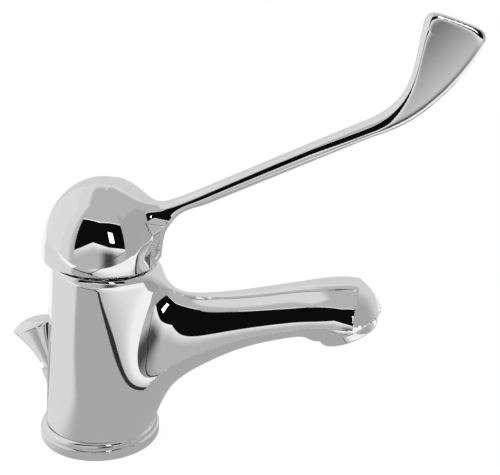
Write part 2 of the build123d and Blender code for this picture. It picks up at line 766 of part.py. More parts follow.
# Flared lift knob with a crowned top
with BuildPart() as lift_knob:
    with BuildSketch(knob_side_plane):
        with BuildLine():
            Line((0, 0), (knob_foot_radius, 0))
            RadiusArc((knob_foot_radius, 0), (knob_top_radius, knob_length), knob_flare_radius)
            crown_edge = (knob_top_radius - knob_edge, knob_length + knob_edge)
            RadiusArc((knob_top_radius, knob_length), crown_edge, -knob_edge)
            TangentArc((0, knob_length + knob_crown), crown_edge, tangent=(1, 0))
            Line((0, knob_length + knob_crown), (0, 0))
        make_face()
    revolve(axis=knob_axis)
    cut_hole(knob_plane, 0, rod_insert + seat_gap, rod_radius + running_gap / 5)
finish(lift_knob, "lift_knob")
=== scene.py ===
import math

import bmesh
import bpy
import numpy as np
from mathutils import Matrix, Vector


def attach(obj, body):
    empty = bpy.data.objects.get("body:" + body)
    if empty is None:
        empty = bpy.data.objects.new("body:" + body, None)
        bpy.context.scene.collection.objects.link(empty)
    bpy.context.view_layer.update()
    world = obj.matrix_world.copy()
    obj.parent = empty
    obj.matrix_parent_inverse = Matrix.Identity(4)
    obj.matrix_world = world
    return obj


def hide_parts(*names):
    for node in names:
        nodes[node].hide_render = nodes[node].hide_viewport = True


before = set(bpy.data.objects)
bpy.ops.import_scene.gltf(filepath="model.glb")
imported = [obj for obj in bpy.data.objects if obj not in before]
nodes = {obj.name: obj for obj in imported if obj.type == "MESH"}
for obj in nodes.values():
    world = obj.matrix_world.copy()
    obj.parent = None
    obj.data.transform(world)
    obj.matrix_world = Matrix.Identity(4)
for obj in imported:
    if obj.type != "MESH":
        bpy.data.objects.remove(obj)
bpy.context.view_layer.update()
mm = 0.001  # sizes in the dictionaries are in millimetres, objects are in metres


# curves and distance fields, which are negative inside a form
def splineThrough(places, values):
    # natural cubic curve through the points, flat beyond its ends
    places, values = np.array(places, float), np.array(values, float)
    count = len(places)
    gaps = np.diff(places)
    matrix, right = np.eye(count), np.zeros(count)
    for i in range(1, count - 1):
        matrix[i, i - 1:i + 2] = gaps[i - 1], 2 * (gaps[i - 1] + gaps[i]), gaps[i]
        after = (values[i + 1] - values[i]) / gaps[i]
        before = (values[i] - values[i - 1]) / gaps[i - 1]
        right[i] = 6 * (after - before)
    bends = np.linalg.solve(matrix, right)

    def valueAt(x):
        x = np.clip(x, places[0], places[-1])
        i = np.clip(np.searchsorted(places, x) - 1, 0, count - 2)
        gap, past, ahead = gaps[i], x - places[i], places[i + 1] - x
        return (
            (bends[i] * ahead ** 3 + bends[i + 1] * past ** 3) / (6 * gap)
            + (values[i] / gap - bends[i] * gap / 6) * ahead
            + (values[i + 1] / gap - bends[i + 1] * gap / 6) * past
        )

    return valueAt


farInside, leastSlope, tiny = -50.0, 0.02, 1e-9


def join(a, b, softness):
    # union of two fields with a soft inner corner
    near = np.maximum(softness - np.abs(a - b), 0) / softness
    return np.minimum(a, b) - near ** 3 * softness / 6


def cut(a, b, softness):
    # what both fields share, with a soft outer edge
    return -join(-a, -b, softness)


def valueAndSlope(field, points, step=0.02):
    here = field(points.T)
    slopes = [(field((points + axis).T) - here) / step for axis in np.eye(3) * step]
    return here, np.stack(slopes, 1)


def meshFromField(name, field, low, high, cell, rounds=4, leastSquare=0.05):
    # one smooth closed mesh where the field is zero, in millimetres, by the surface net way
    axes = [np.arange(a, b + cell, cell) for a, b in zip(low, high)]
    grid = field((axes[0][:, None, None], axes[1][None, :, None], axes[2][None, None, :]))
    size = np.array(grid.shape) - 1
    inside = grid < 0
    total = np.zeros(tuple(size) + (3,))
    crossings = np.zeros(tuple(size))
    corners = [(i, j, k) for i in (0, 1) for j in (0, 1) for k in (0, 1)]

    def cornerPart(array, corner):
        return array[tuple(slice(c, c + n) for c, n in zip(corner, size))]

    for start in corners:
        for axis in range(3):
            if start[axis]:
                continue
            end = tuple(c + (axis == n) for n, c in enumerate(start))
            a, b = cornerPart(grid, start), cornerPart(grid, end)
            crossed = cornerPart(inside, start) != cornerPart(inside, end)
            along = np.where(crossed, a / np.where(crossed, a - b, 1), 0)
            for n in range(3):
                total[..., n] += np.where(crossed, start[n] + (along if n == axis else 0), 0)
            crossings += crossed
    used = crossings > 0
    numbers = np.full(tuple(size), -1)
    numbers[used] = np.arange(used.sum())
    cells = np.argwhere(used)
    points = cells + total[used] / crossings[used][:, None]
    points = points * cell + np.array([axis[0] for axis in axes])
    quads = []
    for axis in range(3):
        one, two = (axis + 1) % 3, (axis + 2) % 3
        start = inside[tuple(slice(1, n) if m != axis else slice(0, n) for m, n in enumerate(size))]
        end = inside[tuple(slice(1, n) if m != axis else slice(1, n + 1) for m, n in enumerate(size))]
        for crossed, flip in ((start & ~end, False), (~start & end, True)):
            at = np.argwhere(crossed)
            at[:, one] += 1
            at[:, two] += 1
            ring = []
            for back in ((1, 1), (0, 1), (0, 0), (1, 0)):
                near = at.copy()
                near[:, one] -= back[0]
                near[:, two] -= back[1]
                ring.append(numbers[tuple(near.T)])
            quads.append(np.stack(ring[::-1] if flip else ring, 1))
    quads = np.concatenate(quads)
    for turn in range(rounds):
        here, slope = valueAndSlope(field, points)
        step = slope * (here / np.maximum((slope ** 2).sum(1), leastSquare))[:, None]
        length = np.maximum(np.linalg.norm(step, axis=1), tiny)
        points = points - step * np.minimum(1, cell / 2 / length)[:, None]
    here, slope = valueAndSlope(field, points)
    normals = slope / np.maximum(np.linalg.norm(slope, axis=1), tiny)[:, None]
    mesh = bpy.data.meshes.new(name)
    mesh.from_pydata((points * mm).tolist(), [], quads.tolist())
    mesh.polygons.foreach_set("use_smooth", [True] * len(mesh.polygons))
    mesh.update()
    mesh.normals_split_custom_set_from_vertices(normals.tolist())
    piece = bpy.data.objects.new(name, mesh)
    bpy.context.scene.collection.objects.link(piece)
    print("made", name, len(points), "points")
    return piece


def latheMesh(name, profile, centre, tilt, steps=144, sharpAngle=32):
    # a closed profile of (radius, height) turned about an axis tilted in the XZ plane
    sine, cosine = math.sin(math.radians(tilt)), math.cos(math.radians(tilt))
    points, faces = [], []
    for step in range(steps):
        angle = 2 * math.pi * step / steps
        for radius, height in profile:
            across, side = radius * math.cos(angle), radius * math.sin(angle)
            points.append((
                (centre[0] + across * cosine - height * sine) * mm,
                (centre[1] + side) * mm,
                (centre[2] + across * sine + height * cosine) * mm,
            ))
    count = len(profile)
    for step in range(steps):
        after = (step + 1) % steps
        for i in range(count):
            j = (i + 1) % count
            ring = (step * count + i, after * count + i, after * count + j, step * count + j)
            if profile[i][0] > 0 or profile[j][0] > 0:
                faces.append(ring)
    mesh = bpy.data.meshes.new(name)
    mesh.from_pydata(points, [], faces)
    piece = bpy.data.objects.new(name, mesh)
    bpy.context.scene.collection.objects.link(piece)
    tidyMesh(mesh, sharpAngle)
    return piece


def tidyMesh(mesh, sharpAngle, mergeDistance=0.002, shortEdge=0.001):
    # merged points, outward faces and smooth shading up to the sharp angle
    work = bmesh.new()
    work.from_mesh(mesh)
    bmesh.ops.remove_doubles(work, verts=work.verts, dist=mergeDistance * mm)
    bmesh.ops.dissolve_degenerate(work, edges=work.edges, dist=shortEdge * mm)
    bmesh.ops.recalc_face_normals(work, faces=work.faces)
    work.to_mesh(mesh)
    work.free()
    mesh.polygons.foreach_set("use_smooth", [True] * len(mesh.polygons))
    mesh.set_sharp_from_angle(angle=math.radians(sharpAngle))


def arcPoints(centre, radius, start, end, count=8):
    # points of an arc in a profile, angles in degrees
    turns = [math.radians(start + (end - start) * i / count) for i in range(count + 1)]
    return [(centre[0] + radius * math.cos(t), centre[1] + radius * math.sin(t)) for t in turns]


# body: column, spout and nose in one casting
lean = math.radians(2)
pivot = (2.0, 0.0, 84.1)
column = {
    "ledgeHeight": 6.9, "footRadius": 24.3, "rimRadius": 23.5, "rimHeight": 84.7, "rimForward": 2.82,
    "rimAbovePivot": 0.6, "spigotRadius": 20.8, "blend": 18.0, "rimSoftness": 6.0,
    "boreSide": 7.5, "boreBack": 4.33, "boreRadius": 4.6, "boreLength": 14.0,
    "fixingRadius": 3.4, "fixingLength": 18.0, "holeSoftness": 0.5,
    "spigotOverlap": 1.0, "coneRange": (-0.2, 1.2),
}
spout = {
    "length": 108.0, "top": 87.0, "halfWidth": 16.0, "widestShare": 0.29,
    "start": 2.0, "startSoftness": 12.0, "end": 111.0, "noseBlend": 10.0, "roundness": 2.0,
    "places": (0.09, 0.2, 0.245, 0.3, 0.36, 0.46, 0.62, 0.78, 0.91, 1.0),
    "tops": (0.955, 0.935, 0.9, 0.86, 0.843, 0.852, 0.894, 0.947, 0.978, 0.975),
    "lows": (0.09, 0.1, 0.18, 0.30, 0.39, 0.49, 0.61, 0.688, 0.738, 0.77),
    "tapers": (0.5, 0.45, 0.42, 0.38, 0.33, 0.26, 0.21, 0.2, 0.2, 0.2),
    "widths": (1.3, 1.22, 1.15, 1.03, 0.94, 0.9, 0.885, 0.92, 0.96, 0.97),
}
nose = {
    "x": 110.4, "z": 63.5, "tilt": 25.0, "radius": 16.2, "mouth": 4.8, "edge": 7.0, "height": 22.6,
    "roundness": 2.6, "mouthSoftness": 0.7, "taper": 0.2,
}
knob = {
    "back": 25.2, "height": 32.8, "tilt": 21.0, "length": 17.8, "topRadius": 9.2, "footRadius": 3.4,
    "crown": 3.2, "edge": 0.9, "flareRadius": 45.0, "boreRadius": 2.6, "pocketRadius": 4.6,
    "pocketDepth": 3.6, "guideRadius": 4.25, "guideLength": 9.0,
    "flareSteps": 14, "edgeTurn": 80, "crownStart": 0.1, "crownSteps": 12,
}
spoutPlaces = spout["length"] * np.array(spout["places"])
spoutTopAt = splineThrough(spoutPlaces, spout["top"] * np.array(spout["tops"]))
spoutLowAt = splineThrough(spoutPlaces, spout["top"] * np.array(spout["lows"]))
spoutTaperAt = splineThrough(spoutPlaces, spout["tapers"])
spoutWidthAt = splineThrough(spoutPlaces, spout["halfWidth"] * np.array(spout["widths"]))


def ovalField(a, b, power, slopeA, slopeB):
    # distance to a superellipse from its two shares and their slopes
    share = (a ** power + b ** power) ** (1 / power) + tiny
    pull = share ** (1 - power)
    slope = np.hypot(pull * a ** (power - 1) * slopeA, pull * b ** (power - 1) * slopeB)
    return (share - 1) / np.maximum(slope, leastSlope)


def columnField(p):
    x, y, z = p
    rise = column["rimHeight"] - column["ledgeHeight"]
    up = np.clip((z - column["ledgeHeight"]) / rise, *column["coneRange"])
    radius = column["footRadius"] + (column["rimRadius"] - column["footRadius"]) * up
    return np.hypot(x - up * column["rimForward"], y) - radius


def spoutField(p):
    x, y, z = p
    top, low, wide = spoutTopAt(x), spoutLowAt(x), spoutWidthAt(x)
    middle = low + (top - low) * spout["widestShare"]
    up = z - middle
    half = np.where(up > 0, top - middle, middle - low)
    narrowed = wide * (1 - spoutTaperAt(x) * np.clip(up / (top - middle), 0, 1))
    d = ovalField(np.abs(y) / narrowed, np.abs(up) / half, spout["roundness"], 1 / narrowed, 1 / half)
    return np.maximum(cut(d, spout["start"] - x, spout["startSoftness"]), x - spout["end"])


def alongTiltedAxis(p, x0, z0, tilt):
    # distance from a tilted axis and height along it
    x, y, z = p
    sine, cosine = math.sin(math.radians(tilt)), math.cos(math.radians(tilt))
    dx, dz = x - x0, z - z0
    return np.hypot(dx * cosine + dz * sine, y), -dx * sine + dz * cosine


def noseField(p):
    y = p[1]
    away, high = alongTiltedAxis(p, nose["x"], nose["z"], nose["tilt"])
    crown = nose["height"] - nose["edge"]
    share = np.maximum(high - nose["edge"], 0) / crown
    wider = y / (1 - nose["taper"] * np.clip(share, 0, 1))
    away = np.sqrt(away ** 2 - y ** 2 + wider ** 2)
    return ovalField(away / nose["radius"], share, nose["roundness"], 1 / nose["radius"], 1 / crown)


def columnTopField(p):
    x, z = p[0], p[2]
    return (z - pivot[2]) * math.cos(lean) + (x - pivot[0]) * math.sin(lean) - column["rimAbovePivot"]


def bodyField(p):
    x, y, z = p
    d = join(spoutField(p), noseField(p), spout["noseBlend"])
    d = join(d, columnField(p), column["blend"])
    high = alongTiltedAxis(p, nose["x"], nose["z"], nose["tilt"])[1]
    middleOfSpout = spout["length"] / 2
    d = cut(d, np.where(x > middleOfSpout, nose["mouth"] - high, farInside), nose["mouthSoftness"])
    d = cut(d, np.where(x < middleOfSpout, columnTopField(p), farInside), column["rimSoftness"])
    d = np.maximum(d, column["ledgeHeight"] - z)
    spigotEnds = np.maximum(-z, z - column["ledgeHeight"] - column["spigotOverlap"])
    d = np.minimum(d, np.maximum(np.hypot(x, y) - column["spigotRadius"], spigotEnds))
    # fixing hole and inlet bores in the underside
    fixing = np.maximum(np.hypot(x, y) - column["fixingRadius"], z - column["fixingLength"])
    hoses = np.hypot(x + column["boreBack"], np.abs(y) - column["boreSide"]) - column["boreRadius"]
    holes = np.minimum(fixing, np.maximum(hoses, z - column["boreLength"]))
    # pocket for the lift rod's guide in the column's back
    away, high = alongTiltedAxis(p, -knob["back"], knob["height"], knob["tilt"])
    pocket = np.maximum(away - knob["pocketRadius"], -knob["pocketDepth"] - high)
    guide = np.maximum(away - knob["guideRadius"], -knob["pocketDepth"] - knob["guideLength"] - high)
    back = np.maximum(np.minimum(pocket, guide), x)
    return cut(d, -np.minimum(holes, back), column["holeSoftness"])


# lever: hub, chin, arm and paddle in one casting
hub = {
    "radius": 26.4, "height": 33.1, "rise": 4.0, "wall": 1.6, "skirt": 1.9, "skirtSoftness": 0.9,
    "faceForward": (0.894, 0.915, 0.943, 0.977, 1.034, 1.09),
    "faceUp": (-0.04, 0.167, 0.379, 0.53, 0.663, 0.785),
    "sideTurn": 24.0, "sideReach": 25.1, "faceWall": 1.8, "faceSoftness": 0.7,
    "chinHalfWidth": 8.0, "chinEdge": 1.2, "chinBack": 15.0, "chinBlend": 1.0,
    "bridgeBack": -6.0, "bridgeHalfWidth": 6.5, "bridgeLow": 5.5, "rotorRoom": 10.9, "hollowSoftness": 0.4,
    "buttonForward": 24.3, "buttonUp": 8.0, "buttonTilt": 10.0, "buttonRadius": 4.1, "buttonDepth": 3.0,
    "buttonSoftness": 1.2,
}
arm = {
    "reach": 150.0, "rise": 112.0, "halfWidth": 5.0, "upperEdge": 9.0, "bendEdge": 14.0,
    "lowerEdge": 3.2, "tipEdge": 5.0, "tipLonger": 0.9, "tipCorner": 12.0,
    "rootFlare": 5.5, "flareStart": 15.0, "flareLength": 10.2, "upperFlareShare": 0.25, "blend": 9.0,
    "rootBack": 9.0, "bendStart": 85.0, "bendLength": 30.0, "tipLength": 8.0, "thinnest": 1.0,
    "flareBack": -5.0,
    "upperRoot": ((0.09, 0.273), (0.157, 0.254), (0.207, 0.274), (0.3, 0.335)),
    "upperBend": ((0.735, 0.639), (0.785, 0.692), (0.817, 0.767), (0.83, 0.865), (0.839, 1.014)),
    "lowerBend": ((1.009, 0.944), (0.968, 0.837), (0.9, 0.717), (0.82, 0.625), (0.735, 0.569)),
    "lowerRoot": ((0.3, 0.269), (0.24, 0.235), (0.2, 0.191), (0.15, 0.137)),
    "dishRadius": 160.0, "dishDepth": 3.3, "dishAt": (1.01, 0.87), "dishWay": (0.74, 0.68),
    "dishStretch": 0.65, "dishEdge": 0.8,
}
faceHeights = hub["radius"] * np.array(hub["faceUp"])
faceAt = splineThrough(faceHeights, hub["radius"] * np.array(hub["faceForward"]))
lineSpacing, lineRounds, lineTail = 1.2, 5, 12.0


def smoothLine(groups, spacing=lineSpacing):
    # the groups of points joined by straight runs, each splined along its own length
    line = []
    for group in groups:
        points = np.array([(arm["reach"] * across, arm["rise"] * up) for across, up in group])
        along = np.concatenate(([0], np.cumsum(np.hypot(*np.diff(points, axis=0).T))))
        places = np.linspace(0, along[-1], max(3, int(along[-1] / spacing)))
        line.append(np.stack([splineThrough(along, points[:, n])(places) for n in (0, 1)], 1))
    return np.concatenate(line)


def evenLine(points, spacing=lineSpacing, rounds=lineRounds):
    # the same line in even steps, with its kinks eased
    along = np.concatenate(([0], np.cumsum(np.hypot(*np.diff(points, axis=0).T))))
    places = np.linspace(0, along[-1], int(along[-1] / spacing))
    line = np.stack([np.interp(places, along, points[:, n]) for n in (0, 1)], 1)
    for turn in range(rounds):
        line[1:-1] = line[1:-1] / 2 + (line[:-2] + line[2:]) / 4
    return line


upperLine = evenLine(smoothLine((arm["upperRoot"], arm["upperBend"])))
lowerLine = evenLine(smoothLine((arm["lowerBend"], arm["lowerRoot"])))


def withTails(line):
    # the line run on straight beyond both ends
    first = line[0] + (line[0] - line[2]) / np.linalg.norm(line[0] - line[2]) * lineTail
    last = line[-1] + (line[-1] - line[-3]) / np.linalg.norm(line[-1] - line[-3]) * lineTail
    return np.concatenate(([first], line, [last]))


upperTip, lowerTip = upperLine[-1].copy(), lowerLine[0].copy()
upperLine, lowerLine = withTails(upperLine), withTails(lowerLine)


def sideOfLine(line, x, z, batch=4000):
    # signed distance to a line, positive on its left, with the line's corners shaded smooth
    x, z = np.broadcast_arrays(x, z)
    query = np.stack((x.ravel(), z.ravel()), 1)
    starts, ways = line[:-1], np.diff(line, axis=0)
    lengths = (ways ** 2).sum(1)
    left = np.stack((-ways[:, 1], ways[:, 0]), 1) / np.sqrt(lengths)[:, None]
    pointLeft = np.concatenate((left[:1], left[:-1] + left[1:], left[-1:]))
    pointLeft /= np.linalg.norm(pointLeft, axis=1)[:, None]
    result = np.empty(len(query))
    for first in range(0, len(query), batch):
        q = query[first:first + batch]
        away = q[:, None] - starts[None]
        t = np.clip((away * ways[None]).sum(2) / lengths[None], 0, 1)
        square = ((away - t[..., None] * ways[None]) ** 2).sum(2)
        nearest = square.argmin(1)
        rows = np.arange(len(q))
        t = t[rows, nearest]
        gap = q - starts[nearest] - t[:, None] * ways[nearest]
        lift = pointLeft[nearest] * (1 - t)[:, None] + pointLeft[nearest + 1] * t[:, None]
        result[first:first + batch] = np.sign((gap * lift).sum(1)) * np.sqrt(square[rows, nearest])
    return result.reshape(x.shape)


def intoCartridge(p):
    # across and along the cartridge's leaning axis, from the pivot
    dx, dz = p[0] - pivot[0], p[2] - pivot[2]
    return dx * math.cos(lean) - dz * math.sin(lean), dx * math.sin(lean) + dz * math.cos(lean)


def domeField(p, radius, height, least=1e-6):
    # an ellipsoid's upper half over an upright skirt
    y = p[1]
    across, up = intoCartridge(p)
    up = np.maximum(up - hub["rise"], 0)
    first = np.sqrt((across / radius) ** 2 + (y / radius) ** 2 + (up / height) ** 2)
    second = np.sqrt((across / radius ** 2) ** 2 + (y / radius ** 2) ** 2 + (up / height ** 2) ** 2)
    return first * (first - 1) / np.maximum(second, least)


def sideFaceField(p, reach):
    turn = math.radians(hub["sideTurn"])
    return intoCartridge(p)[0] * math.cos(turn) + np.abs(p[1]) * math.sin(turn) - reach


def leverField(p):
    x, y, z = p
    dx, dz = x - pivot[0], z - pivot[2]
    up = intoCartridge(p)[1]
    front = dx - faceAt(dz)
    d = cut(domeField(p, hub["radius"], hub["height"]), front, hub["faceSoftness"])
    d = cut(d, sideFaceField(p, hub["sideReach"]), hub["faceSoftness"])
    chinTop = hub["radius"] * hub["faceUp"][-1]
    chin = cut(np.abs(y) - hub["chinHalfWidth"], front, hub["chinEdge"])
    d = join(d, np.maximum(chin, np.maximum(dz - chinTop, hub["chinBack"] - dx)), hub["chinBlend"])
    # arm and paddle
    above = sideOfLine(upperLine, dx, dz)
    below = sideOfLine(lowerLine, dx, dz)
    tipWay = lowerTip - upperTip
    tipOut = np.array((-tipWay[1], tipWay[0])) / np.linalg.norm(tipWay)
    tip = (dx - upperTip[0]) * tipOut[0] + (dz - upperTip[1]) * tipOut[1] - arm["tipLonger"]
    low = np.clip(-above / np.maximum(-above - below, arm["thinnest"]), 0, 1)
    fromStart = np.maximum(dx - arm["flareStart"], arm["flareBack"])
    flare = arm["rootFlare"] * np.exp(-fromStart / arm["flareLength"])
    flareShare = arm["upperFlareShare"] + (1 - arm["upperFlareShare"]) * low
    side = np.abs(y) - arm["halfWidth"] - flare * flareShare
    bent = np.clip((dx - arm["bendStart"]) / arm["bendLength"], 0, 1)
    edge = arm["upperEdge"] + (arm["bendEdge"] - arm["upperEdge"]) * bent * bent * (3 - 2 * bent)
    edge = arm["tipEdge"] + (edge - arm["tipEdge"]) * np.clip(-tip / arm["tipLength"], 0, 1)
    # makes up for the height that the soft upper edge takes off
    above = above - (edge - arm["halfWidth"]) ** 3 / (6 * edge ** 2)
    # hollow of the paddle's sides, deepest along its outer edge
    wayX, wayZ = arm["dishWay"]
    fromX = dx - arm["reach"] * arm["dishAt"][0]
    fromZ = dz - arm["rise"] * arm["dishAt"][1]
    across = fromZ * wayX - fromX * wayZ
    along = (fromX * wayX + fromZ * wayZ) * arm["dishStretch"]
    dishSide = arm["dishRadius"] + arm["halfWidth"] - arm["dishDepth"]
    dish = np.sqrt(across ** 2 + along ** 2 + (np.abs(y) - dishSide) ** 2) - arm["dishRadius"]
    bar = cut(side, cut(above, tip, arm["tipCorner"]), edge)
    bar = cut(bar, -dish, arm["dishEdge"])
    bar = cut(bar, cut(below, tip, arm["tipCorner"]), arm["lowerEdge"])
    bar = np.maximum(bar, arm["rootBack"] - dx)
    d = join(d, bar, arm["blend"])
    # skirt's edge, hollow and the button's pocket
    d = cut(d, hub["skirt"] - up, hub["skirtSoftness"])
    hollow = domeField(p, hub["radius"] - hub["wall"], hub["height"] - hub["wall"])
    hollow = np.maximum(hollow, dx - hub["radius"] * hub["faceForward"][0] + hub["faceWall"])
    hollow = np.maximum(hollow, sideFaceField(p, hub["sideReach"] - hub["faceWall"]))
    bridge = np.maximum(hub["bridgeBack"] - dx, hub["bridgeLow"] - up)
    bridge = np.maximum(np.abs(y) - hub["bridgeHalfWidth"], bridge)
    hollow = np.maximum(hollow, -bridge)
    hollow = np.minimum(hollow, np.sqrt(dx ** 2 + y ** 2 + dz ** 2) - hub["rotorRoom"])
    tilt = math.radians(hub["buttonTilt"])
    bx, bz = dx - hub["buttonForward"], dz - hub["buttonUp"]
    out = bx * math.cos(tilt) - bz * math.sin(tilt)
    rise = bx * math.sin(tilt) + bz * math.cos(tilt)
    button = np.maximum(np.hypot(y, rise) - hub["buttonRadius"], -out - hub["buttonDepth"])
    return cut(cut(d, -hollow, hub["hollowSoftness"]), -button, hub["buttonSoftness"])


bodyGrid = {"low": (-26, -26, -0.9), "high": (129, 26, 89), "cell": 0.8}
leverGrid = {"low": (-26, -28, 84), "high": (156, 28, 200), "cell": 0.7}
bodyPiece = meshFromField("bodyShell", bodyField, **bodyGrid)
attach(bodyPiece, "root")
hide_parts("body")
leverPiece = meshFromField("leverShell", leverField, **leverGrid)
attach(leverPiece, "lever")
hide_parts("lever")


# turned pieces: base ring, outlet shell and lift knob
ring = {
    "radius": 27.0, "bore": 21.02, "height": 7.5, "band": 4.4, "groove": 0.8,
    "ledge": 24.6, "ledgeTop": 6.95, "edge": 0.35, "low": 0.05, "shoulderStart": 0.03, "shoulderSteps": 14,
}
bandTop, bandSide = ring["radius"] - ring["groove"], ring["radius"] - ring["edge"]
shoulderRise = ring["height"] - ring["band"]
ringProfile = [(ring["bore"], ring["low"]), (bandSide, ring["low"])]
ringProfile += arcPoints((bandSide, ring["low"] + ring["edge"]), ring["edge"], -90, 0, 4)
ringProfile += arcPoints((bandSide, ring["band"] - ring["edge"]), ring["edge"], 0, 90, 5)
ringProfile += [(bandTop, ring["band"])]
ringProfile += [
    (ring["ledge"] + (bandTop - ring["ledge"]) * math.cos(t), ring["band"] + shoulderRise * math.sin(t))
    for t in np.linspace(ring["shoulderStart"], math.pi / 2, ring["shoulderSteps"])
]
ringProfile += [(ring["ledge"], ring["ledgeTop"]), (ring["bore"], ring["ledgeTop"])]
ringPiece = latheMesh("baseRingTurned", ringProfile, (0, 0, 0), 0)
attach(ringPiece, "root")
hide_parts("base_ring")

shell = {
    "radius": 12.8, "height": 4.75, "lip": 9.4, "lipHeight": 1.0, "bore": 10.4, "edge": 0.7,
    "thread": 11.9, "top": 12.0,
}
shellProfile = [(shell["lip"], 0)]
shellProfile += arcPoints((shell["radius"] - shell["edge"], shell["edge"]), shell["edge"], -90, 0, 6)
for radiusName, heightName in (
    ("radius", "height"), ("thread", "height"), ("thread", "top"),
    ("bore", "top"), ("bore", "lipHeight"), ("lip", "lipHeight"),
):
    shellProfile.append((shell[radiusName], shell[heightName]))
shellPiece = latheMesh("aeratorShellTurned", shellProfile, (nose["x"], 0, nose["z"]), nose["tilt"])
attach(shellPiece, "root")
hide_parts("aerator_housing")

knobProfile = [(knob["boreRadius"], 0)]
rise, run = knob["length"], knob["topRadius"] - knob["footRadius"]
for share in np.linspace(0, 1, knob["flareSteps"]):
    sag = (knob["length"] ** 2 + run ** 2) / (8 * knob["flareRadius"]) * 4 * share * (1 - share)
    knobProfile.append((knob["footRadius"] + run * share - sag * rise / math.hypot(rise, run), rise * share))
knobProfile += arcPoints((knob["topRadius"] - knob["edge"], rise), knob["edge"], 0, knob["edgeTurn"], 6)
crownFoot = knobProfile[-1]
for share in np.linspace(knob["crownStart"], 1, knob["crownSteps"]):
    lift = (rise + knob["crown"] - crownFoot[1]) * (1 - (1 - share) ** 2)
    knobProfile.append((crownFoot[0] * (1 - share), crownFoot[1] + lift))
knobProfile += [(0, rise / 2), (knob["boreRadius"], rise / 2)]
knobPiece = latheMesh("liftKnobTurned", knobProfile, (-knob["back"], 0, knob["height"]), knob["tilt"])
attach(knobPiece, "lift")
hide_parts("lift_knob")
print("turned pieces made")


# materials
unevenness = {"fineDetail": 3, "cloudDetail": 2, "cloudScale": 0.12, "cloudLow": 0.3, "cloudHigh": 0.7}


def mathNode(tree, kind, a, b=None):
    # one arithmetic node, fed with numbers or sockets
    node = tree.nodes.new("ShaderNodeMath")
    node.operation = kind
    for socket, value in zip(node.inputs, (a, b)):
        if isinstance(value, (int, float)):
            socket.default_value = value
        elif value is not None:
            tree.links.new(value, socket)
    return node.outputs[0]


def polishGroup():
    # faint unevenness of a worked surface: its roughness and a height for the bump
    group = bpy.data.node_groups.new("fineSurface", "ShaderNodeTree")
    face = group.interface
    for name in ("Scale", "Rough Low", "Rough High"):
        face.new_socket(name, in_out="INPUT", socket_type="NodeSocketFloat")
    for name in ("Dark", "Light"):
        face.new_socket(name, in_out="INPUT", socket_type="NodeSocketColor")
    face.new_socket("Color", in_out="OUTPUT", socket_type="NodeSocketColor")
    for name in ("Roughness", "Height"):
        face.new_socket(name, in_out="OUTPUT", socket_type="NodeSocketFloat")
    tree = group.nodes
    start, end, place, noise, cloud, rough, mix = (tree.new(kind) for kind in (
        "NodeGroupInput", "NodeGroupOutput", "ShaderNodeTexCoord", "ShaderNodeTexNoise",
        "ShaderNodeTexNoise", "ShaderNodeMapRange", "ShaderNodeMix",
    ))
    noise.inputs["Detail"].default_value = unevenness["fineDetail"]
    cloud.inputs["Detail"].default_value = unevenness["cloudDetail"]
    mix.data_type = "RGBA"
    link = group.links.new
    link(place.outputs["Object"], noise.inputs["Vector"])
    link(place.outputs["Object"], cloud.inputs["Vector"])
    link(start.outputs["Scale"], noise.inputs["Scale"])
    cloudScale = mathNode(group, "MULTIPLY", start.outputs["Scale"], unevenness["cloudScale"])
    link(cloudScale, cloud.inputs["Scale"])
    link(cloud.outputs["Fac"], rough.inputs["Value"])
    rough.inputs["From Min"].default_value = unevenness["cloudLow"]
    rough.inputs["From Max"].default_value = unevenness["cloudHigh"]
    link(start.outputs["Rough Low"], rough.inputs["To Min"])
    link(start.outputs["Rough High"], rough.inputs["To Max"])
    link(cloud.outputs["Fac"], mix.inputs["Factor"])
    link(start.outputs["Dark"], mix.inputs["A"])
    link(start.outputs["Light"], mix.inputs["B"])
    link(mix.outputs["Result"], end.inputs["Color"])
    link(rough.outputs["Result"], end.inputs["Roughness"])
    link(noise.outputs["Fac"], end.inputs["Height"])
    return group


fineSurface = polishGroup()
# dark and light colour, metallic, roughness low and high, noise scale, bump strength, bump depth in mm
finishes = {
    "chrome": ((0.86, 0.86, 0.87), (0.90, 0.90, 0.905), 1.0, 0.015, 0.035, 220, 0.02, 0.004),
    "chromeSatin": ((0.80, 0.80, 0.81), (0.86, 0.86, 0.87), 1.0, 0.05, 0.10, 300, 0.05, 0.01),
    "brass": ((0.62, 0.44, 0.18), (0.74, 0.55, 0.26), 1.0, 0.22, 0.34, 400, 0.15, 0.02),
    "cartridgePlastic": ((0.74, 0.74, 0.71), (0.82, 0.82, 0.79), 0.0, 0.42, 0.55, 500, 0.2, 0.02),
    "ceramic": ((0.88, 0.87, 0.83), (0.93, 0.92, 0.89), 0.0, 0.12, 0.2, 300, 0.05, 0.01),
    "spindleSteel": ((0.50, 0.50, 0.51), (0.60, 0.60, 0.61), 1.0, 0.25, 0.38, 600, 0.2, 0.02),
    "screenSteel": ((0.42, 0.42, 0.43), (0.52, 0.52, 0.53), 1.0, 0.28, 0.42, 700, 0.2, 0.02),
    "aeratorPlastic": ((0.62, 0.65, 0.67), (0.70, 0.72, 0.74), 0.0, 0.4, 0.5, 500, 0.2, 0.02),
    "sealRubber": ((0.025, 0.025, 0.027), (0.05, 0.05, 0.052), 0.0, 0.6, 0.75, 900, 0.4, 0.04),
}


